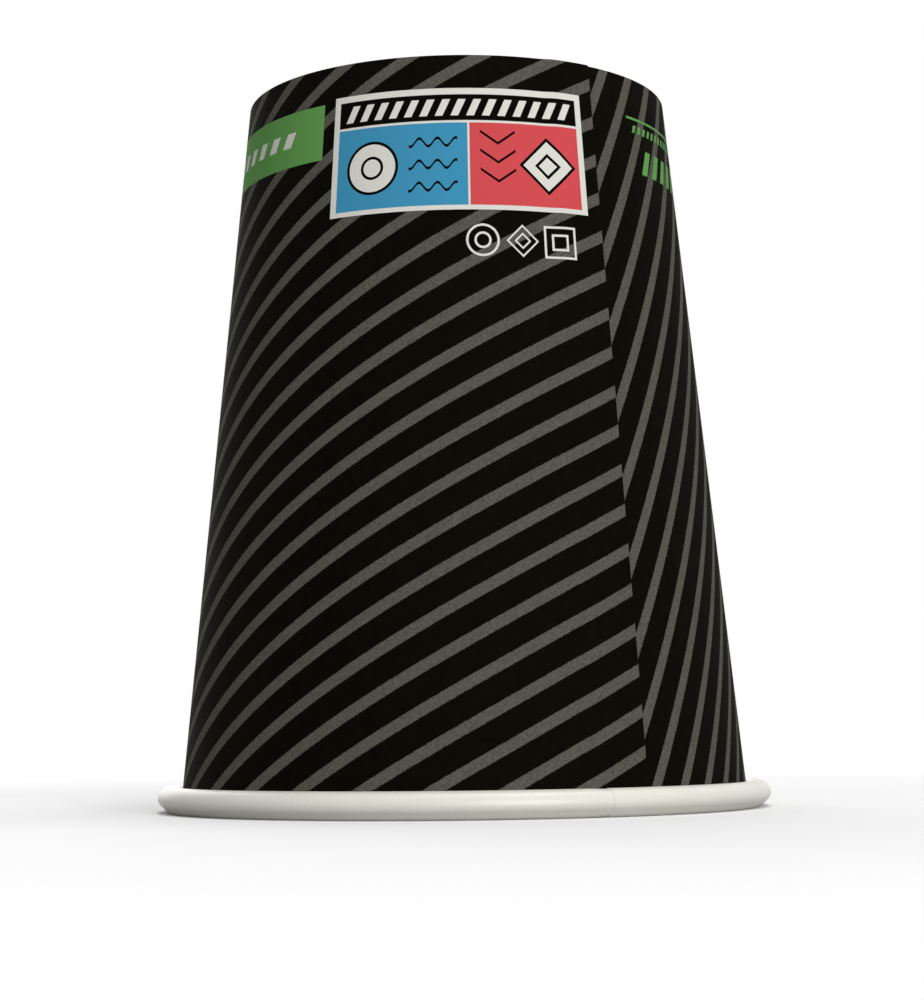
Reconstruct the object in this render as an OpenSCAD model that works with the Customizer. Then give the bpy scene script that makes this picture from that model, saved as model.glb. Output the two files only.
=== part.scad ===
// Single-wall paper hot cup, standing mouth down on its rolled rim.
// The side wall is one lapped blank of board: rolled outwards at the mouth and folded in at the base
// around the skirt of the bottom disc, which is the second piece of board.
// Frame: Z up, origin on the table under the middle of the rim, mouth down and base up.

/* [Cup] */
// Outer diameter over the rolled rim
rim_d = 80; // [74:0.5:92]
// Height from the rim's lowest point to the base edge
cup_h = 92.5; // [70:0.5:130]
// Outer diameter at the base edge
base_d = 55; // [46:0.5:60]

/* [Rim] */
// Diameter of the rolled bead round the mouth
bead_d = 3.4; // [2.8:0.1:4.2]
// Opening left between the end of the roll and the wall
roll_gap = 0.2; // [0.1:0.05:0.4]

/* [Board] */
// Thickness of the side wall's board
wall_t = 0.35; // [0.25:0.05:0.5]
// Thickness of the bottom disc's board
bottom_t = 0.3; // [0.2:0.05:0.4]
// Glue line left between the two pieces of board
glue_gap = 0.04; // [0.02:0.01:0.08]

/* [Base] */
// Depth of the bottom disc below the base edge
recess = 5.2; // [4.5:0.1:10]
// Distance from the end of the folded-in wall to the bottom disc
fold_clear = 0.5; // [0.3:0.1:1]
// Radius where the board turns over at the base edge
fold_r = 0.25; // [0.1:0.05:0.3]
// Inner radius where the bottom disc turns into its skirt
skirt_r = 0.3; // [0.1:0.05:0.5]

/* [Seam] */
// Direction of the lap seam's outer edge, counterclockwise from +X seen from above
seam_angle = -54; // [-180:1:180]
// Width of the lap at the rim
lap_w = 6.5; // [4:0.5:10]
// Distance of the lap's proud strip from the base edge and from the bead
lap_end = 0.6; // [0.3:0.1:2]

/* [Hidden] */
$fn = 96;
// Points on a full turn of the bead, and on each small bend of the board
bead_points = 48;
bend_points = 6;

bead_r = bead_d / 2;
bead_inner_r = bead_r - wall_t;
bead_centre = [rim_d / 2 - bead_r, bead_r];
base_edge = [base_d / 2, cup_h];

// The wall's printed face runs from the base edge to where it is tangent to the inside of the bead
to_bead = bead_centre - base_edge;
lean = atan2(to_bead.x, -to_bead.y) - asin(bead_inner_r / norm(to_bead));
down = [sin(lean), -cos(lean)];
inward = [-cos(lean), -sin(lean)];

// Depths from the printed face to each face of the board layers at the base
slot_out = wall_t;
skirt_out = wall_t + glue_gap;
skirt_in = skirt_out + bottom_t;
slot_in = skirt_in + glue_gap;
fold_in = slot_in + wall_t;

disc_top = cup_h - recess;
disc_low = disc_top - bottom_t;

// A point at a distance down the wall from the base edge and at a depth behind the printed face
function at(s, depth) = base_edge + s * down + depth * inward;
// The same, given the height in place of the distance
function at_height(z, depth) = at((base_edge.y + depth * inward.y - z) / -down.y, depth);
// Points of an arc about a centre, both ends included
function arc(centre, r, from, to, points) =
    [for (i = [0 : points]) centre + r * [cos(from + (to - from) * i / points), sin(from + (to - from) * i / points)]];

// The roll starts square to the wall and ends short of the wall's printed face
roll_start = 180 + lean;
roll_end = roll_start + 360 - acos((bead_inner_r - roll_gap) / bead_r);

// Closed outline of the side wall's board, from the base edge down, round the roll and back
function wall_outline() = concat(
    arc(at_height(cup_h - fold_r, fold_r), fold_r, 90, lean, bend_points),
    arc(bead_centre, bead_inner_r, roll_start, roll_end, bead_points),
    arc(bead_centre, bead_r, roll_end, roll_start, bead_points),
    [
        at_height(cup_h - wall_t, slot_out),
        at_height(cup_h - wall_t, slot_in),
        at_height(disc_top + fold_clear, slot_in),
        at_height(disc_top + fold_clear, fold_in),
    ],
    arc(at_height(cup_h - fold_r, fold_in - fold_r), fold_r, 180 + lean, 90, bend_points)
);

// Closed outline of the bottom disc and its upturned skirt, from the axis out
bend_centre = at_height(disc_top + skirt_r, skirt_in + skirt_r);
function disc_outline() = concat(
    [[0, disc_low]],
    arc(bend_centre, skirt_r + bottom_t, -90, lean, bend_points),
    [
        at_height(cup_h - wall_t - glue_gap, skirt_out),
        at_height(cup_h - wall_t - glue_gap, skirt_in),
    ],
    arc(bend_centre, skirt_r, lean, -90, bend_points),
    [[0, disc_top]]
);

// Section of the lap's outer layer, rooted halfway into the wall
function lap_outline() = [
    at_height(cup_h - lap_end, -wall_t),
    at_height(bead_d + lap_end, -wall_t),
    at_height(bead_d + lap_end, wall_t / 2),
    at_height(cup_h - lap_end, wall_t / 2),
];
lap_angle = 360 * lap_w / (PI * (rim_d - 2 * bead_d));

// One lapped blank with its rolled rim, wall, proud seam strip and folded base edge
module side_wall() {
    color([0.07, 0.065, 0.06]) union() {
        rotate_extrude() polygon(wall_outline());
        rotate([0, 0, seam_angle - lap_angle]) rotate_extrude(angle = lap_angle) polygon(lap_outline());
    }
}

// Flat disc with its edge turned towards the base edge
module bottom_disc() {
    color([0.93, 0.92, 0.88]) rotate_extrude() polygon(disc_outline());
}

side_wall();
bottom_disc();
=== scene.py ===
"""Single-wall paper hot cup, standing mouth down on its rolled rim, with its print and a plain studio."""

import math

import bmesh
import bpy
from bpy.props import FloatProperty, FloatVectorProperty, IntProperty, PointerProperty
from mathutils import Euler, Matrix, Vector


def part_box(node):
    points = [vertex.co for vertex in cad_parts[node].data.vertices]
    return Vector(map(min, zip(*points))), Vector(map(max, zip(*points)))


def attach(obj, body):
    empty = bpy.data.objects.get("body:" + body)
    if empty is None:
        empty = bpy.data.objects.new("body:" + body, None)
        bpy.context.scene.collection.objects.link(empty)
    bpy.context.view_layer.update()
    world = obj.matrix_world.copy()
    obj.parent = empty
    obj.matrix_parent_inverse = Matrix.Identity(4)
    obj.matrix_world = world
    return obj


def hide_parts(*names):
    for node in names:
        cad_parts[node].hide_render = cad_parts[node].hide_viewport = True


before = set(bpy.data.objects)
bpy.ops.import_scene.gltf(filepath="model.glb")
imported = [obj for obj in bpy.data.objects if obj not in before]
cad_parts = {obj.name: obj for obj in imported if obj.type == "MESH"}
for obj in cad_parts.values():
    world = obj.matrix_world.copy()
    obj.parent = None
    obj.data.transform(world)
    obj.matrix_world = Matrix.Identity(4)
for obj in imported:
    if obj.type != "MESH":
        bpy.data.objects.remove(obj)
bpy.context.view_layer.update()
WALL_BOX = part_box("side_wall")
DISC_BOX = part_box("bottom_disc")

bl_info = {
    "name": "Paper Cup",
    "version": (1, 0, 0),
    "blender": (4, 5, 0),
    "location": "3D View > Sidebar > Paper Cup",
    "description": "Models a printed paper cup from its board, with its seam, rolled rim and folded base",
    "category": "Object",
}

ROOT = "root"
ORIGIN = (0.0, 0.0, 0.0)
UP = (0.0, 0.0, 1.0)
FULL_TURN = 2 * math.pi
MILLIMETRE = 0.001
WHITE = (1.0, 1.0, 1.0)
# Width of the nearly upright step where a cut edge of board shows, as an angle
CUT = math.radians(0.06)
# Vertices closer than this are one
WELD = 1e-6
# Share of the lap's thickness that is left where the rim's roll has pressed it
PRESSED_LAP = 0.22
# Edges that turn more than this stay sharp under smooth shading
CREASE = math.radians(40)
# Steps round the bends of the board, and rows of faces along its straight stretches
PRINTED_ROLL_STEPS = 28
WHITE_ROLL_STEPS = 40
FOLD_STEPS = 6
SKIRT_BEND_STEPS = 8
WALL_ROWS = 12
HEM_ROWS = 5
DISC_ROWS = 12
DISC_COLUMNS = 240
# Which face of the board a vertex lies on
COATED, PRINTED, BARE = range(3)


def length(name, description, default):
    """A size in metres"""
    return FloatProperty(name=name, description=description, default=default, unit="LENGTH", precision=5)


def turn(name, description, degrees):
    """An angle, given here in degrees"""
    return FloatProperty(name=name, description=description, default=math.radians(degrees), subtype="ANGLE")


def colour(name, description, red, green, blue):
    """A colour, given here by the 0 to 255 values of a picture"""
    return FloatVectorProperty(
        name=name,
        description=description,
        subtype="COLOR",
        size=3,
        min=0.0,
        max=1.0,
        default=[linear(value / 255) for value in (red, green, blue)],
    )


def linear(value):
    """The linear light of a picture's value from 0 to 1"""
    return value / 12.92 if value <= 0.04045 else ((value + 0.055) / 1.055) ** 2.4


class CupBoard(bpy.types.PropertyGroup):
    """Sizes of the cup's board, rim, seam and base"""

    rim_radius: length("Rim radius", "Outer radius of the rolled rim", (WALL_BOX[1].x - WALL_BOX[0].x) / 2)
    height: length("Height", "From the rim's lowest point to the base edge", WALL_BOX[1].z)
    base_radius: length("Base radius", "Outer radius at the base edge", 0.0275)
    bead_radius: length("Bead radius", "Radius of the rim's rolled bead", 0.0017)
    bead_flat: length("Bead flat", "How far the bead's quarter towards the mouth is pressed in", 0.00026)
    roll_gap: length("Roll gap", "Opening between the end of the roll and the wall", 0.0002)
    wall: length("Wall board", "Thickness of the side wall's board", 0.00035)
    bottom: length("Bottom board", "Thickness of the bottom disc's board", 0.0003)
    bottom_height: length("Bottom height", "Height of the disc's face inside the cup", DISC_BOX[0].z)
    glue_gap: length("Glue line", "Glue line between the two pieces of board", 0.00004)
    fold_clear: length("Fold clearance", "From the end of the folded-in wall to the bottom disc", 0.0005)
    fold_radius: length("Fold radius", "Radius where the board turns over at the base edge", 0.00025)
    skirt_radius: length("Skirt radius", "Inner radius where the disc turns into its skirt", 0.0003)
    seam_angle: turn("Seam direction", "Direction of the lap's outer edge, counterclockwise from +X", -54)
    lap_width: length("Lap width", "Overlap of the side seam at the rim", 0.0065)
    lap_ramp: length("Lap ramp", "Width over which the outer layer climbs onto the inner one", 0.0028)
    knurl_depth: length("Knurl depth", "Depth of the pressed ridges inside the folded base", 0.00009)
    knurls: IntProperty(name="Knurls", description="Pressed ridges round the base", default=72, min=12)
    columns: IntProperty(name="Columns", description="Faces round the cup", default=360, min=90)


class CupPrint(bpy.types.PropertyGroup):
    """The printed pattern and its colours"""

    stripe_angle: turn("Stripe angle", "From the seam to the stripes' normal in the flat blank", 64.22)
    stripe_period: length("Stripe period", "From one pale stripe to the next", 0.004387)
    stripe_width: length("Stripe width", "Width of a pale stripe", 0.00136)
    stripe_start: length("First stripe", "From the base edge to the first pale stripe on the seam", 0.00262)
    ink: colour("Ink", "Black ink", 9, 8, 4)
    stripe: colour("Stripe", "Pale ink of the stripes", 90, 88, 80)
    blue: colour("Blue", "Blue field", 64, 145, 182)
    red: colour("Red", "Red field", 208, 78, 82)
    green: colour("Green", "Green tag and bars", 100, 157, 84)
    white: colour("White", "Unprinted white of the panel and marks", 218, 218, 210)
    coated: colour("Coated board", "Coated white face of the board", 228, 226, 216)
    uncoated: colour("Uncoated board", "Bare white board", 222, 218, 204)


class CupStage(bpy.types.PropertyGroup):
    """Camera and light"""

    camera_distance: length("Camera distance", "From the lens to the cup's axis", 0.2973)
    camera_height: length("Camera height", "Of the lens above the floor", 0.0112)
    lens: FloatProperty(name="Lens", description="Focal length in millimetres", default=81.0, min=10)
    pitch: turn("Camera pitch", "Upward tilt of the camera", 3.5)
    roll: turn("Camera roll", "Roll of the camera, as the picture was taken", -0.68)
    shift: FloatProperty(name="Shift", description="Upward shift of the frame", default=0.085)


class BoardSection:
    """Places in the XZ plane, measured from the wall's straight printed face"""

    def __init__(self, board):
        self.base_edge = Vector((board.base_radius, 0, board.height))
        self.bead_centre = Vector((board.rim_radius - board.bead_radius, 0, board.bead_radius))
        self.roll_radius = board.bead_radius - board.wall
        reach = self.bead_centre - self.base_edge
        self.lean = math.atan2(reach.x, -reach.z) - math.asin(self.roll_radius / reach.length)
        self.outward = Vector((math.cos(self.lean), 0, math.sin(self.lean)))
        self.down = Vector((math.sin(self.lean), 0, -math.cos(self.lean)))
        self.disc_top = board.bottom_height + board.bottom
        self.skirt_out = board.wall + board.glue_gap
        self.skirt_in = self.skirt_out + board.bottom
        self.slot_in = self.skirt_in + board.glue_gap
        self.fold_in = self.slot_in + board.wall

    def at(self, height, depth):
        """The point at a height, at a depth behind the printed face"""
        start = self.base_edge - depth * self.outward
        return start + self.down * ((start.z - height) / -self.down.z)


def ride_as(piece, node):
    """Puts a finished piece in place of its node"""
    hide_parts(node)
    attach(piece, ROOT)


def sort_by_corners(bm):
    """Puts the faces in the order of their corners, so that each run lists them alike"""
    bm.verts.index_update()
    count = len(bm.verts)
    keys = {}
    for face in bm.faces:
        corners = sorted(vert.index for vert in face.verts)
        keys[face] = (corners[0] * count + corners[-1]) * count + corners[-2]
    bm.faces.sort(key=keys.get)


def new_piece(name, bm, materials):
    """Turns a bmesh into an object that is smooth but for its creases"""
    sort_by_corners(bm)
    mesh = bpy.data.meshes.new(name)
    bm.to_mesh(mesh)
    bm.free()
    for material in materials:
        mesh.materials.append(material)
    mesh.shade_smooth()
    mesh.set_sharp_from_angle(angle=CREASE)
    piece = bpy.data.objects.new(name, mesh)
    bpy.context.scene.collection.objects.link(piece)
    return piece


def arc(bm, start, centre, angle, steps):
    """Swings a new vertex about a centre in the XZ plane and returns the vertices of its arc in order"""
    chain = [bm.verts.new(start)]
    bmesh.ops.spin(bm, geom=chain[:], cent=centre, axis=(0, -1, 0), angle=angle, steps=steps)
    while len(chain) <= steps:
        here = chain[-1]
        chain += [e.other_vert(here) for e in here.link_edges if e.other_vert(here) not in chain]
    return chain


def join(bm, chains):
    """Draws the edges that join chains of vertices end to end"""
    for chain, following in zip(chains, chains[1:]):
        bm.edges.new((chain[-1], following[0]))


def straight(bm, points):
    """Vertices at the points, joined in order"""
    chain = [bm.verts.new(point) for point in points]
    for first, second in zip(chain, chain[1:]):
        bm.edges.new((first, second))
    return chain


def rows(first, second, cuts):
    """Points that divide the straight line between two vertices, in order"""
    return [first.co.lerp(second.co, step / (cuts + 1)) for step in range(1, cuts + 1)]


def wall_section(bm, board, section):
    """Draws the section of the wall's board, and marks its printed face and which way each face looks"""
    side = bm.verts.layers.int.new("side")
    facing = bm.verts.layers.float_vector.new("facing")
    knurl = bm.verts.layers.float.new("knurl")
    centre, outward = section.bead_centre, section.outward
    across = Vector((1, 0, 0))

    roll_turn = FULL_TURN - math.acos((section.roll_radius - board.roll_gap) / board.bead_radius)
    open_end = Euler((0, -roll_turn, 0)).to_matrix() @ -outward
    printed_roll = arc(bm, centre + open_end * section.roll_radius, centre, -roll_turn, PRINTED_ROLL_STEPS)
    fold = board.fold_radius
    top = board.height - fold
    outer_centre = section.at(top, fold)
    outer_turn = math.pi / 2 - section.lean
    outer_fold = arc(bm, outer_centre + outward * fold, outer_centre, outer_turn, FOLD_STEPS)
    inner_centre = section.at(top, section.fold_in - fold)
    inner_turn = math.pi / 2 + section.lean
    inner_fold = arc(bm, inner_centre + Vector((0, 0, fold)), inner_centre, inner_turn, FOLD_STEPS)
    fold_end = section.disc_top + board.fold_clear
    hem = straight(bm, [section.at(fold_end, section.fold_in)])
    slot_top = board.height - board.wall
    white = straight(bm, [
        section.at(fold_end, section.slot_in),
        section.at(slot_top, section.slot_in),
        section.at(slot_top, board.wall),
    ])
    white_roll = arc(bm, centre - outward * board.bead_radius, centre, roll_turn, WHITE_ROLL_STEPS)
    outer_wall = straight(bm, rows(printed_roll[-1], outer_fold[0], WALL_ROWS))
    inner_wall = straight(bm, rows(white[-1], white_roll[0], WALL_ROWS))
    hem_wall = straight(bm, rows(inner_fold[-1], hem[0], HEM_ROWS))
    printed = [printed_roll, outer_wall, outer_fold, inner_fold, hem_wall, hem]
    coated = [white, inner_wall, white_roll]
    join(bm, [*printed, *coated, printed_roll])

    for face_side, chains in ((PRINTED, printed), (COATED, coated)):
        for vert in sum(chains, []):
            vert[side] = face_side
    flatten_bead(board, centre, printed_roll + white_roll)
    for vert in printed_roll + white_roll:
        vert[facing] = (centre - vert.co).normalized() * PRESSED_LAP
    for vert in outer_wall + inner_wall + white[2:]:
        vert[facing] = outward
    for vert in outer_fold:
        vert[facing] = across
    for vert in inner_fold + hem_wall + hem + white[:2]:
        vert[facing] = -across
    for vert in hem_wall + hem:
        vert[knurl] = 1.0
    return bm.verts[:] + bm.edges[:]


def flatten_bead(board, centre, roll):
    """Presses in the quarter of the roll that faces out and towards the mouth"""
    for vert in roll:
        reach = vert.co - centre
        if reach.x > 0 > reach.z:
            press = board.bead_flat * (2 * reach.x * reach.z / reach.length_squared) ** 2
            vert.co -= press * reach.normalized()


def smooth_fall(value, start, end):
    """Falls smoothly from 1 to 0 as the value goes from start to end"""
    share = min(max((value - start) / (end - start), 0.0), 1.0)
    return 1 - share * share * (3 - 2 * share)


def wrap_blank(bm, board, outline):
    """Turns the section round the axis, with narrow columns where the blank's two cut edges lie"""
    lap = board.lap_width / (board.rim_radius - 2 * board.bead_radius)
    bmesh.ops.rotate(bm, cent=ORIGIN, verts=bm.verts, matrix=Euler((0, 0, board.seam_angle)).to_matrix())
    lap_columns = max(round(board.columns * lap / FULL_TURN), 4)
    ring = outline
    single = FULL_TURN - lap - 2 * CUT
    for angle, steps in ((CUT, 1), (single, board.columns), (CUT, 1), (lap, lap_columns)):
        turned = bmesh.ops.spin(bm, geom=ring, cent=ORIGIN, axis=UP, angle=angle, steps=steps)
        ring = turned["geom_last"]
    bmesh.ops.remove_doubles(bm, verts=bm.verts, dist=WELD)
    bmesh.ops.recalc_face_normals(bm, faces=bm.faces)
    return lap


def behind_seam(point, board):
    """Angle from the outer layer's edge back over the lap, from 0 to a full turn"""
    angle = board.seam_angle - math.atan2(point.y, point.x)
    return (angle + CUT / 2) % FULL_TURN - CUT / 2


def lap_board(bm, board, lap):
    """Lifts the outer layer over the inner one, whose face inside the cup stays, and presses the knurls"""
    side = bm.verts.layers.int["side"]
    facing = bm.verts.layers.float_vector["facing"]
    knurl = bm.verts.layers.float["knurl"]
    ramp_end = lap + board.lap_ramp / board.rim_radius
    for vert in bm.verts:
        angle = behind_seam(vert.co, board)
        lift = smooth_fall(angle, lap, ramp_end)
        if vert[side] == COATED and angle < lap + CUT / 2:
            lift = 0.0
        heading = math.atan2(vert.co.y, vert.co.x)
        press = board.knurl_depth * vert[knurl] * (0.5 + 0.5 * math.cos(board.knurls * heading))
        away = vert[facing]
        reach = board.wall * lift + press
        vert.co += reach * Vector((away.x * math.cos(heading), away.x * math.sin(heading), away.z))


def sort_faces(bm, board, section):
    """Gives each face its finish: print, coated board, cut edge, or the print turned in at the base"""
    side = bm.verts.layers.int["side"]
    print_slot, coated_slot, edge_slot, hem_slot = range(4)
    for face in bm.faces:
        sides = {vert[side] for vert in face.verts}
        middle = face.calc_center_median()
        angle = behind_seam(middle, board)
        on_cut = angle < 0 or angle > FULL_TURN - CUT
        radius = math.hypot(middle.x, middle.y)
        if len(sides) == 2 or (on_cut and PRINTED in sides):
            face.material_index = edge_slot
        elif COATED in sides:
            face.material_index = coated_slot
        elif middle.z > section.disc_top and radius < section.at(middle.z, section.skirt_out).x:
            face.material_index = hem_slot
        else:
            face.material_index = print_slot


class CUP_OT_side_wall(bpy.types.Operator):
    """Model the printed side wall with its lap seam, rolled rim and folded base"""

    bl_idname = "cup.side_wall"
    bl_label = "Side wall"
    bl_options = {"REGISTER", "UNDO"}

    def execute(self, context):
        board, artwork = context.scene.cup_board, context.scene.cup_print
        section = BoardSection(board)
        bm = bmesh.new()
        lap = wrap_blank(bm, board, wall_section(bm, board, section))
        lap_board(bm, board, lap)
        sort_faces(bm, board, section)
        piece = new_piece("side_wall_board", bm, [
            printed_board("printed board", board, artwork, section),
            white_board("coated board", artwork.coated, 0.36, 0.5),
            white_board("cut board edge", artwork.uncoated, 0.8, 1.0),
            printed_board("printed hem", board, artwork, section, folded=True),
        ])
        ride_as(piece, "side_wall")
        return {"FINISHED"}


def disc_section(bm, board, section):
    """Draws the section of the bottom disc and its skirt, and marks its coated and its bare face"""
    side = bm.verts.layers.int.new("side")
    bend = section.at(section.disc_top + board.skirt_radius, section.skirt_in + board.skirt_radius)
    bend_turn = math.pi / 2 + section.lean
    outer_radius = board.skirt_radius + board.bottom
    skirt_top = board.height - board.wall - board.glue_gap
    low = straight(bm, [Vector((0, 0, board.bottom_height))])
    outer_bend = arc(bm, bend - Vector((0, 0, outer_radius)), bend, bend_turn, SKIRT_BEND_STEPS)
    skirt = straight(bm, [section.at(skirt_top, depth) for depth in (section.skirt_out, section.skirt_in)])
    inner_bend = arc(bm, bend + section.outward * board.skirt_radius, bend, -bend_turn, SKIRT_BEND_STEPS)
    high = straight(bm, [Vector((0, 0, section.disc_top))])
    under = straight(bm, rows(low[0], outer_bend[0], DISC_ROWS))
    over = straight(bm, rows(inner_bend[-1], high[0], DISC_ROWS))
    join(bm, [low, under, outer_bend, skirt, inner_bend, over, high])
    for vert in low + under + outer_bend + skirt[:1]:
        vert[side] = COATED
    for vert in skirt[1:] + inner_bend + over + high:
        vert[side] = BARE
    return bm.verts[:] + bm.edges[:]


class CUP_OT_bottom(bpy.types.Operator):
    """Model the bottom disc with its turned skirt"""

    bl_idname = "cup.bottom"
    bl_label = "Bottom disc"
    bl_options = {"REGISTER", "UNDO"}

    def execute(self, context):
        board, artwork = context.scene.cup_board, context.scene.cup_print
        section = BoardSection(board)
        bm = bmesh.new()
        outline = disc_section(bm, board, section)
        full = {"cent": ORIGIN, "axis": UP, "angle": FULL_TURN, "steps": DISC_COLUMNS, "use_merge": True}
        bmesh.ops.spin(bm, geom=outline, **full)
        bmesh.ops.remove_doubles(bm, verts=bm.verts, dist=WELD)
        bmesh.ops.recalc_face_normals(bm, faces=bm.faces)
        side = bm.verts.layers.int["side"]
        coated_slot, bare_slot = range(2)
        for face in bm.faces:
            is_bare = all(vert[side] == BARE for vert in face.verts)
            face.material_index = bare_slot if is_bare else coated_slot
        piece = new_piece("bottom_board", bm, [
            white_board("coated bottom", artwork.coated, 0.36, 0.5),
            white_board("bare bottom", artwork.uncoated, 0.75, 1.0),
        ])
        ride_as(piece, "bottom_disc")
        return {"FINISHED"}


class Nodes:
    """Adds shader nodes to a material or a world and joins them as formulas"""

    def __init__(self, owner):
        owner.use_nodes = True
        self.owner = owner
        self.tree = owner.node_tree
        self.shader = self.tree.nodes.get("Principled BSDF")

    def add(self, kind, settings=(), inputs=()):
        """A node with its settings and with values or links on its inputs"""
        node = self.tree.nodes.new(kind)
        for name, value in dict(settings).items():
            setattr(node, name, value)
        for name, value in dict(inputs).items():
            self.feed(node.inputs[name], value)
        return node

    def feed(self, socket, value):
        """Links an output to a socket, or sets the socket to a value"""
        if isinstance(value, bpy.types.NodeSocket):
            self.tree.links.new(value, socket)
        else:
            socket.default_value = value

    def math(self, operation, *values, clamp=False):
        """The result of a Math node"""
        node = self.add("ShaderNodeMath", {"operation": operation, "use_clamp": clamp})
        for socket, value in zip(node.inputs, values):
            self.feed(socket, value)
        return node.outputs[0]

    def vector_math(self, operation, *values):
        """The result of a Vector Math node"""
        node = self.add("ShaderNodeVectorMath", {"operation": operation})
        for socket, value in zip(node.inputs, values):
            self.feed(socket, value)
        return node.outputs["Value" if operation in {"LENGTH", "DISTANCE", "DOT_PRODUCT"} else "Vector"]

    def noise(self, place, size, detail=2.0, roughness=0.5):
        """Noise with features of a given size in metres"""
        inputs = {"Vector": place, "Scale": 1 / size, "Detail": detail, "Roughness": roughness}
        return self.add("ShaderNodeTexNoise", inputs=inputs).outputs["Fac"]

    def ramp(self, value, from_low, from_high, to_low=0.0, to_high=1.0, kind="SMOOTHSTEP"):
        """Maps a value from one range to another"""
        inputs = {
            "Value": value, "From Min": from_low, "From Max": from_high, "To Min": to_low, "To Max": to_high
        }
        return self.add("ShaderNodeMapRange", {"interpolation_type": kind}, inputs).outputs["Result"]

    def mix(self, share, first, second, blend="MIX"):
        """Mixes two colours"""
        node = self.add("ShaderNodeMix", {"data_type": "RGBA", "blend_type": blend})
        for socket, value in zip((node.inputs[0], node.inputs[6], node.inputs[7]), (share, first, second)):
            self.feed(socket, value)
        return node.outputs[2]

    def seen(self):
        """1 where the surface is looked at, also in gloss or through glass, and 0 where it gives light"""
        path = self.add("ShaderNodeLightPath").outputs
        straight_or_gloss = self.math("MAXIMUM", path["Is Camera Ray"], path["Is Glossy Ray"])
        return self.math("MAXIMUM", straight_or_gloss, path["Is Transmission Ray"])

    def bump(self, height, distance, strength=1.0):
        """A bump of a given depth in metres"""
        inputs = {"Height": height, "Distance": distance, "Strength": strength}
        return self.add("ShaderNodeBump", inputs=inputs).outputs["Normal"]


def rgba(three, level=1.0):
    """A colour with full alpha, at a level of its own brightness"""
    return (*(part * level for part in three), 1.0)


# Feature sizes of the noise in the board and in the ink
CLOUD_SIZE = 0.004
FIBRE_SIZE = 0.0004
MOTTLE_SIZE = 0.0012
SPECKLE_SIZE = 0.00022
GRAIN_SIZE = 0.00028
RAGGED_SIZE = 0.0003
# How far a stripe's edge wanders, and half the width over which it fades
RAGGED_EDGE = 0.00009
SOFT_EDGE = 0.00006
# Depths of the relief of bare board and of printed board
BOARD_RELIEF = 0.00006
INK_RELIEF = 0.00005
# Share of the usual gloss that is left on the matt ink
INK_GLOSS = 0.012


def white_board(name, tint, roughness, fibre):
    """White board: faint clouds and fibres, with a satin or a bare face"""
    nodes = Nodes(bpy.data.materials.new(name))
    place = nodes.add("ShaderNodeTexCoord").outputs["Object"]
    clouds = nodes.noise(place, CLOUD_SIZE, 3.0)
    fibres = nodes.noise(place, FIBRE_SIZE, 4.0, 0.6)
    cloudy = nodes.ramp(clouds, 0.3, 0.7, -0.012, 0.012)
    shade = nodes.math("ADD", cloudy, nodes.ramp(fibres, 0.3, 0.7, 0.96, 1.0))
    grey = nodes.add("ShaderNodeCombineColor", inputs={"Red": shade, "Green": shade, "Blue": shade})
    nodes.feed(nodes.shader.inputs["Base Color"], nodes.mix(1.0, rgba(tint), grey.outputs[0], "MULTIPLY"))
    satin = nodes.ramp(fibres, 0.3, 0.7, roughness - 0.05, roughness + 0.08)
    nodes.feed(nodes.shader.inputs["Roughness"], satin)
    height = nodes.math("MULTIPLY_ADD", fibres, 0.5 * fibre, nodes.math("MULTIPLY", clouds, 0.6))
    nodes.feed(nodes.shader.inputs["Normal"], nodes.bump(height, BOARD_RELIEF, 0.6))
    return nodes.owner


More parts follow.
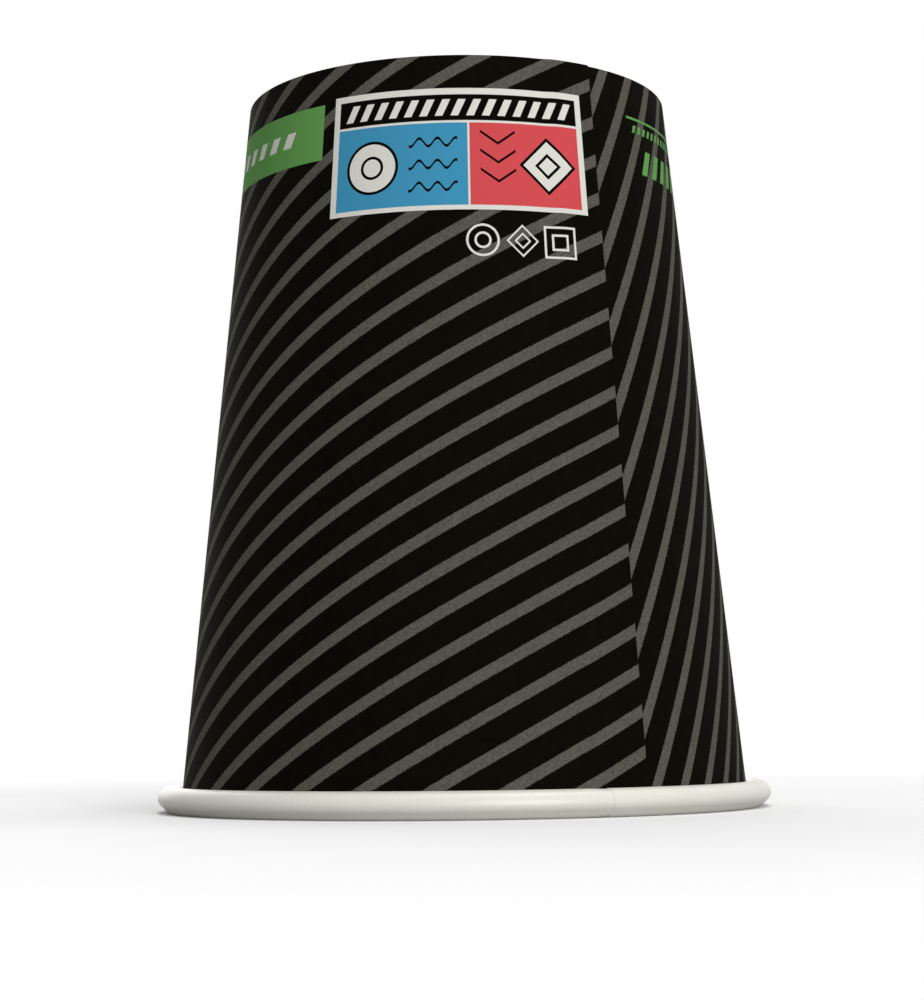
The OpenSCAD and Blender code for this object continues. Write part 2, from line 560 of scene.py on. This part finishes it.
class Blank:
    """Places on the printed blank: the angle behind the seam and the distance down from the base edge

    On the strip that is folded in past the base edge the distance is negative.
    """

    def __init__(self, nodes, board, section, folded):
        self.nodes = nodes
        self.place = nodes.add("ShaderNodeTexCoord").outputs["Object"]
        turned = nodes.add("ShaderNodeMapping", {"vector_type": "POINT"}, {
            "Vector": self.place, "Rotation": (0, 0, math.pi - board.seam_angle)
        })
        axes = nodes.add("ShaderNodeSeparateXYZ", inputs={"Vector": turned.outputs["Vector"]})
        heading = nodes.math("ARCTAN2", axes.outputs["Y"], axes.outputs["X"])
        self.behind = nodes.math("SUBTRACT", math.pi, heading)
        drop = nodes.math("SUBTRACT", board.height, axes.outputs["Z"])
        along = math.cos(section.lean) * (-1 if folded else 1)
        self.down = nodes.math("DIVIDE", drop, along)
        self.lean = section.lean
        self.apex = board.base_radius / math.sin(section.lean)

    def stripes(self, artwork):
        """1 on the pale stripes, which are straight lines in the flat blank"""
        nodes = self.nodes
        radius = nodes.math("ADD", self.down, self.apex)
        angle = nodes.math("MULTIPLY_ADD", self.behind, -math.sin(self.lean), artwork.stripe_angle)
        across = nodes.math("MULTIPLY", radius, nodes.math("SINE", angle))
        first = (self.apex + artwork.stripe_start) * math.sin(artwork.stripe_angle)
        wander = nodes.noise(self.place, RAGGED_SIZE)
        ragged = nodes.ramp(wander, 0.0, 1.0, -RAGGED_EDGE, RAGGED_EDGE, "LINEAR")
        offset = nodes.math("ADD", nodes.math("SUBTRACT", across, first), ragged)
        off_middle = nodes.math("PINGPONG", offset, artwork.stripe_period / 2)
        half = artwork.stripe_width / 2
        return nodes.ramp(off_middle, half - SOFT_EDGE, half + SOFT_EDGE, 1.0, 0.0)

    def spot(self, angle, down):
        """A flat place in metres measured from a point of the blank"""
        radius = (self.apex + down) * math.sin(self.lean)
        nodes = self.nodes
        across = nodes.math("MULTIPLY", nodes.math("SUBTRACT", math.radians(angle), self.behind), radius)
        return across, nodes.math("SUBTRACT", self.down, down)

    def box(self, angles, downs):
        """1 inside a field between two angles behind the seam and two distances from the base edge"""
        nodes = self.nodes
        middle, half = sum(angles) / 2, abs(angles[1] - angles[0]) / 2
        within = nodes.math("COMPARE", self.behind, math.radians(middle), math.radians(half))
        between = nodes.math("COMPARE", self.down, sum(downs) / 2, abs(downs[1] - downs[0]) / 2)
        return nodes.math("MULTIPLY", within, between)

    def bars(self, first, count, apart, downs):
        """1 on slanted bars, from the first bar's angle towards the seam, a distance apart"""
        nodes = self.nodes
        x, y = self.spot(first, sum(downs) / 2)
        slanted = nodes.math("MULTIPLY_ADD", y, BAR_SLANT, x)
        bar = lines(nodes, slanted, apart, BAR_SHARE * apart / 2)
        row = nodes.math("COMPARE", slanted, (count - 1) * apart / 2, count * apart / 2)
        between = nodes.math("COMPARE", y, 0.0, abs(downs[1] - downs[0]) / 2)
        return nodes.math("MULTIPLY", nodes.math("MULTIPLY", bar, row), between)


# Plain fields of the print, in the order they are laid: colour, angles behind the seam in degrees,
# and distances from the base edge in millimetres
FIELDS = (
    ("white", (3.7, 68.0), (4.3, 19.7)),
    ("ink", (5.3, 66.4), (5.1, 8.4)),
    ("blue", (33.4, 66.4), (8.7, 19.1)),
    ("red", (5.3, 32.9), (8.7, 19.1)),
    ("green", (71.4, 124.0), (4.8, 11.9)),
    ("green", (312.0, 346.5), (5.3, 5.6)),
)
# Rows of bars: colour, the first bar's angle, how many, how far apart, and distances from the base edge
BARS = (
    ("white", 62.6, 15, 1.90, (5.7, 7.8)),
    ("white", 116.0, 6, 3.20, (7.4, 9.3)),
    ("green", 343.5, 12, 1.20, (6.3, 7.3)),
    ("green", 339.0, 6, 2.60, (9.3, 12.6)),
)
# Share of the distance between bars that a bar fills, and how far it leans for each unit of its height
BAR_SHARE = 0.5
BAR_SLANT = 0.45
# Half the width of a drawn line
LINE = 0.18 * MILLIMETRE
# Motifs of the panel, all at one distance from the base edge
MOTIF_DOWN = 0.0139
# Ringed motifs: outline, angle behind the seam, outer and inner size, and weight of the line
RINGED = (
    ("ring", 57.0, 0.0032, 0.0013, 1.0),
    ("diamond", 13.6, 0.0034, 0.0014, 1.4),
)
# Ripples: angle, half width and half height, distance apart, height of a wave and radians in a metre
RIPPLE_ANGLE = 41.8
RIPPLE_HALVES = (0.0030, 0.0038)
RIPPLE_APART = 0.0028
RIPPLE_SWELL = 0.0005
RIPPLE_WAVES = 2800.0
# Bent lines: angle, half width and half height, distance apart, slope and how far down the point lies
BENT_ANGLE = 26.0
BENT_HALVES = (0.0022, 0.0030)
BENT_APART = 0.0024
BENT_SLOPE = 0.7
BENT_DROP = 0.0050
# Small marks under the panel: outline and angle, with their distance from the base edge and their sizes
MARKS = (("ring", 30.2), ("diamond", 20.8), ("square", 11.6))
MARK_DOWN = 0.0235
MARK_SIZES = (0.0019, 0.0009)
MARK_WEIGHT = 0.8


def fields(blank, artwork):
    """The plain fields of the print, each as its colour and a mask of where it lies"""
    for name, angles, downs in FIELDS:
        yield getattr(artwork, name), blank.box(angles, [down * MILLIMETRE for down in downs])
    for name, first, count, apart, downs in BARS:
        row = blank.bars(first, count, apart * MILLIMETRE, [down * MILLIMETRE for down in downs])
        yield getattr(artwork, name), row
    yield from motifs(blank, artwork)


def motifs(blank, artwork):
    """A ringed disc and a ringed diamond, ripples, bent lines and three small outlines"""
    nodes = blank.nodes
    for shape, angle, outer, inner, weight in RINGED:
        far = from_middle(nodes, shape, *blank.spot(angle, MOTIF_DOWN))
        yield artwork.white, nodes.math("LESS_THAN", far, outer)
        yield artwork.ink, nodes.math("COMPARE", far, outer, LINE * weight)
        yield artwork.ink, nodes.math("COMPARE", far, inner, LINE * weight)

    x, y = blank.spot(RIPPLE_ANGLE, MOTIF_DOWN)
    swell = nodes.math("SINE", nodes.math("MULTIPLY", x, RIPPLE_WAVES))
    level = nodes.math("ADD", y, 2 * RIPPLE_APART)
    ripple = nodes.math("MULTIPLY_ADD", swell, RIPPLE_SWELL, level)
    within = patch(nodes, x, y, 0.0, RIPPLE_HALVES)
    yield artwork.ink, nodes.math("MULTIPLY", lines(nodes, ripple, RIPPLE_APART, LINE), within)

    x, y = blank.spot(BENT_ANGLE, MOTIF_DOWN)
    level = nodes.math("ADD", y, BENT_DROP)
    bent = nodes.math("MULTIPLY_ADD", nodes.math("ABSOLUTE", x), BENT_SLOPE, level)
    within = patch(nodes, x, bent, 2 * BENT_APART, BENT_HALVES)
    yield artwork.ink, nodes.math("MULTIPLY", lines(nodes, bent, BENT_APART, LINE), within)

    for shape, angle in MARKS:
        far = from_middle(nodes, shape, *blank.spot(angle, MARK_DOWN))
        for size in MARK_SIZES:
            yield artwork.white, nodes.math("COMPARE", far, size, LINE * MARK_WEIGHT)


def patch(nodes, x, y, middle, halves):
    """1 within half a width of x = 0 and half a height of the middle"""
    across = nodes.math("COMPARE", x, 0.0, halves[0])
    return nodes.math("MULTIPLY", across, nodes.math("COMPARE", y, middle, halves[1]))


def from_middle(nodes, shape, x, y):
    """How far a place is from the middle of a shape, the same all along the shape's outline"""
    if shape == "ring":
        return nodes.math("SQRT", nodes.math("MULTIPLY_ADD", x, x, nodes.math("MULTIPLY", y, y)))
    across, along = nodes.math("ABSOLUTE", x), nodes.math("ABSOLUTE", y)
    return nodes.math("ADD" if shape == "diamond" else "MAXIMUM", across, along)


def lines(nodes, value, apart, half_width):
    """1 on lines that lie a distance apart"""
    return nodes.math("COMPARE", nodes.math("PINGPONG", value, apart / 2), 0.0, half_width)


def printed_board(name, board, artwork, section, folded=False):
    """Black board with pale stripes, and with the plain fields where it isn't folded in"""
    nodes = Nodes(bpy.data.materials.new(name))
    blank = Blank(nodes, board, section, folded)
    stripes = blank.stripes(artwork)
    speckle = nodes.noise(blank.place, SPECKLE_SIZE, 3.0, 0.65)
    mottle = nodes.noise(blank.place, MOTTLE_SIZE, 3.0)
    grain = nodes.ramp(nodes.noise(blank.place, GRAIN_SIZE, 3.0, 0.7), 0.36, 0.62)
    pale = nodes.mix(grain, rgba(artwork.stripe, 0.72), rgba(artwork.stripe, 1.1))
    clouds = nodes.ramp(mottle, 0.3, 0.7)
    dark = nodes.mix(clouds, rgba(artwork.ink), rgba(artwork.ink, 1.35))
    tint = nodes.mix(stripes, dark, pale)
    if not folded:
        for plain, mask in fields(blank, artwork):
            tint = nodes.mix(mask, tint, rgba(plain))
    nodes.feed(nodes.shader.inputs["Base Color"], tint)
    nodes.feed(nodes.shader.inputs["Roughness"], nodes.ramp(speckle, 0.3, 0.7, 0.66, 0.78))
    nodes.shader.inputs["Specular IOR Level"].default_value = INK_GLOSS
    height = nodes.math("ADD", nodes.math("MULTIPLY", mottle, 0.6), nodes.math("MULTIPLY", speckle, 0.3))
    nodes.feed(nodes.shader.inputs["Normal"], nodes.bump(height, INK_RELIEF, 0.5))
    return nodes.owner


# Strength of the light from all round, and of the white that is seen behind the cup
ROOM_LIGHT = 0.21
SEEN_WHITE = 1.0
# Tones of the floor: as it gives light back, and as it is looked at
FLOOR_TONE = 0.38
SEEN_FLOOR_TONE = 0.99
FLOOR_RADIUS = 3.0
# Between these distances from the cup's axis the seen floor passes into plain white
FLOOR_FADE = (0.055, 0.22)
# Soft boxes: name, place, size in metres and power in watts
SOFT_BOXES = (
    ("key", (0.30, -0.76, 0.24), 0.45, 4.7),
    ("fill", (-0.9, -0.5, 0.35), 0.8, 0.3),
    ("top", (0.10, 0.0, 1.0), 0.6, 5.0),
    ("back", (-0.25, 0.9, 0.45), 0.8, 3.4),
)
# Point that the soft boxes look at
LIT_POINT = Vector((0, 0, 0.05))


class CUP_OT_stage(bpy.types.Operator):
    """Set the plain floor, the soft lights and the camera"""

    bl_idname = "cup.stage"
    bl_label = "Stage"
    bl_options = {"REGISTER", "UNDO"}

    def execute(self, context):
        scene, stage = context.scene, context.scene.cup_stage
        scene.view_settings.view_transform = "Standard"
        floor()
        room(scene)
        for name, place, size, power in SOFT_BOXES:
            soft_box(name, Vector(place), size, power)
        camera(scene, stage)
        return {"FINISHED"}


def floor():
    """A wide white floor"""
    bm = bmesh.new()
    bmesh.ops.create_circle(bm, cap_ends=True, segments=96, radius=FLOOR_RADIUS)
    nodes = Nodes(bpy.data.materials.new("floor"))
    pale = nodes.mix(nodes.seen(), rgba(WHITE, FLOOR_TONE), rgba(WHITE, SEEN_FLOOR_TONE))
    nodes.feed(nodes.shader.inputs["Base Color"], pale)
    nodes.shader.inputs["Roughness"].default_value = 0.9
    nodes.shader.inputs["Specular IOR Level"].default_value = 0.1
    place = nodes.add("ShaderNodeTexCoord").outputs["Object"]
    far = nodes.ramp(nodes.vector_math("LENGTH", place), *FLOOR_FADE)
    glow = nodes.add("ShaderNodeEmission", inputs={"Color": rgba(WHITE), "Strength": SEEN_WHITE})
    share = nodes.math("MULTIPLY", far, nodes.seen())
    near = nodes.shader.outputs[0]
    blend = nodes.add("ShaderNodeMixShader", inputs={0: share, 1: near, 2: glow.outputs[0]})
    nodes.feed(nodes.tree.nodes["Material Output"].inputs["Surface"], blend.outputs[0])
    piece = new_piece("floor", bm, [nodes.owner])


def room(scene):
    """Soft light from all round, seen as plain white"""
    scene.world = bpy.data.worlds.new("room")
    nodes = Nodes(scene.world)
    background = nodes.tree.nodes["Background"]
    background.inputs["Color"].default_value = rgba(WHITE)
    strength = nodes.ramp(nodes.seen(), 0.0, 1.0, ROOM_LIGHT, SEEN_WHITE, "LINEAR")
    nodes.feed(background.inputs["Strength"], strength)


def soft_box(name, place, size, power):
    """A square lamp that looks at the cup"""
    light = bpy.data.lights.new(name, "AREA")
    light.size = size
    light.energy = power
    holder = bpy.data.objects.new(name, light)
    holder.location = place
    holder.rotation_euler = (LIT_POINT - place).to_track_quat("-Z", "Y").to_euler()
    bpy.context.scene.collection.objects.link(holder)


def camera(scene, stage):
    """The picture's viewpoint: low, close and slightly rolled"""
    data = bpy.data.cameras.new("camera")
    data.lens = stage.lens
    data.shift_y = stage.shift
    data.clip_start = 0.01
    holder = bpy.data.objects.new("camera", data)
    holder.location = (0, -stage.camera_distance, stage.camera_height)
    level = Euler((math.pi / 2 + stage.pitch, 0, 0)).to_matrix()
    rolled = Euler((0, 0, stage.roll)).to_matrix()
    holder.rotation_euler = (level @ rolled).to_euler()
    scene.collection.objects.link(holder)
    scene.camera = holder


class CUP_PT_sidebar(bpy.types.Panel):
    """Buttons and sizes of the paper cup"""

    bl_idname = "CUP_PT_sidebar"
    bl_label = "Paper Cup"
    bl_space_type = "VIEW_3D"
    bl_region_type = "UI"
    bl_category = "Paper Cup"

    def draw(self, context):
        layout = self.layout
        for operator in OPERATORS:
            layout.operator(operator.bl_idname)
        for group in (context.scene.cup_board, context.scene.cup_print, context.scene.cup_stage):
            column = layout.column(align=True)
            for name in group.__annotations__:
                column.prop(group, name)


GROUPS = {"cup_board": CupBoard, "cup_print": CupPrint, "cup_stage": CupStage}
OPERATORS = (CUP_OT_side_wall, CUP_OT_bottom, CUP_OT_stage)


def register():
    """Registers the classes and gives each scene its settings"""
    for cls in (*GROUPS.values(), *OPERATORS, CUP_PT_sidebar):
        bpy.utils.register_class(cls)
    for name, group in GROUPS.items():
        setattr(bpy.types.Scene, name, PointerProperty(type=group))


def unregister():
    """Takes the settings and classes away again"""
    for name in GROUPS:
        delattr(bpy.types.Scene, name)
    for cls in (CUP_PT_sidebar, *reversed(OPERATORS), *reversed(GROUPS.values())):
        bpy.utils.unregister_class(cls)


def main():
    """Builds the cup and its stage"""
    register()
    bpy.ops.cup.side_wall()
    bpy.ops.cup.bottom()
    bpy.ops.cup.stage()


if __name__ == "__main__":
    main()
